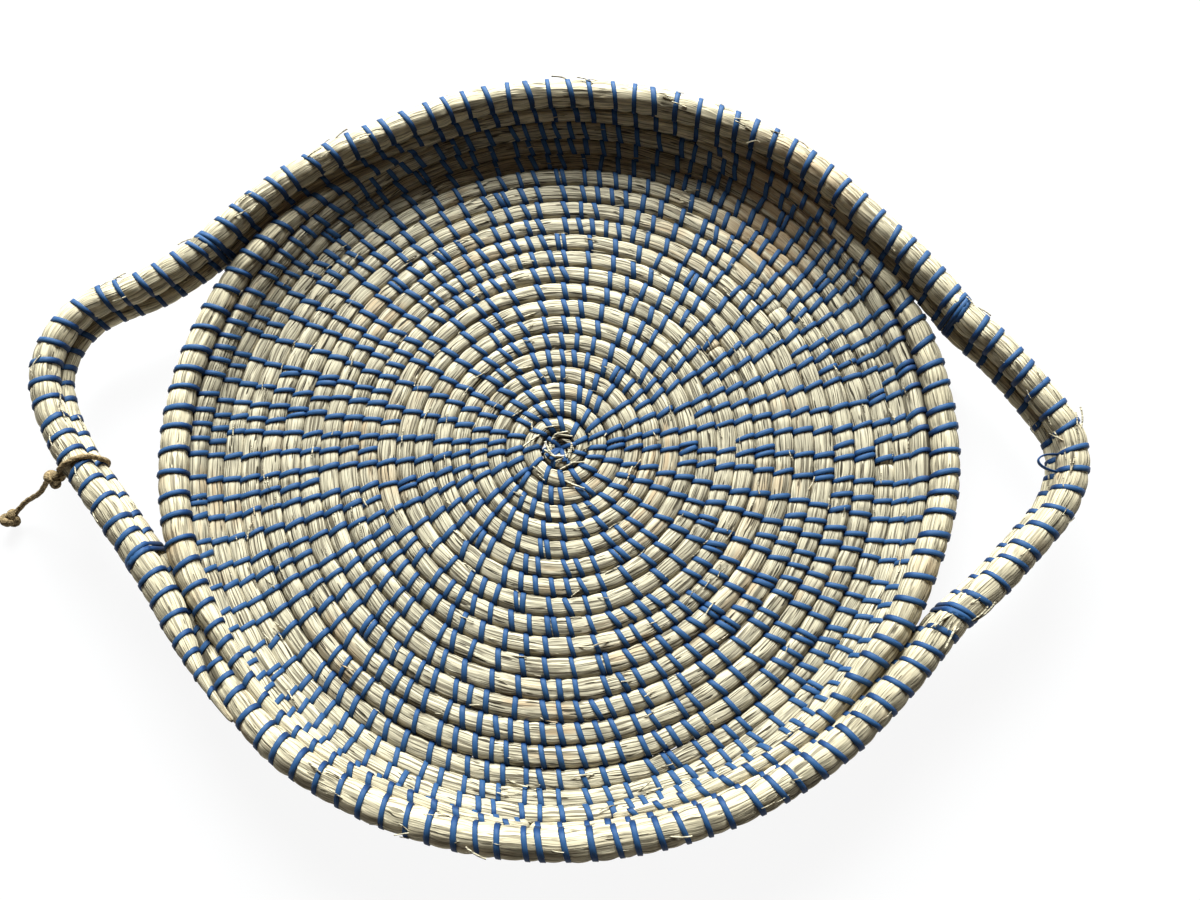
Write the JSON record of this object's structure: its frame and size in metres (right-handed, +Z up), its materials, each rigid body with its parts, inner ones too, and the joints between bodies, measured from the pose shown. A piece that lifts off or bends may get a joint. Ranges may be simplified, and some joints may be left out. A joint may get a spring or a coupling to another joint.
{
  "type": "woven tray",
  "caption": "Round shallow tray of coiled seagrass stitched with blue plastic strip, with a low flared wall, thick rim, two open loop handles and a knotted jute string",
  "frame": {"origin": "middle of the tray's box in plan, on the surface it stands on", "axes": "+Z up, +X through the right handle (the longest way across), +Y to the far wall"},
  "size_m": [0.5486, 0.4026, 0.0431],
  "materials": {
    "seagrass": "dry twisted grass, pale straw with dark fibres",
    "strip": "glossy flat plastic strip, blue",
    "jute": "rough twisted twine, brown"
  },
  "bodies": {
    "root": {"floor_coil": "seagrass", "start_tuck": "seagrass", "wall_coil": "seagrass", "top_coil": "seagrass", "side_rim_right": "seagrass", "side_rim_left": "seagrass", "lashing_near_right": "strip", "lashing_far_right": "strip", "lashing_far_left": "strip", "lashing_near_left": "strip", "strip_loop": "strip", "string_loop": "jute", "string_knot": "jute", "string_tail": "jute", "string_end_knot": "jute"}
  },
  "joints": []
}
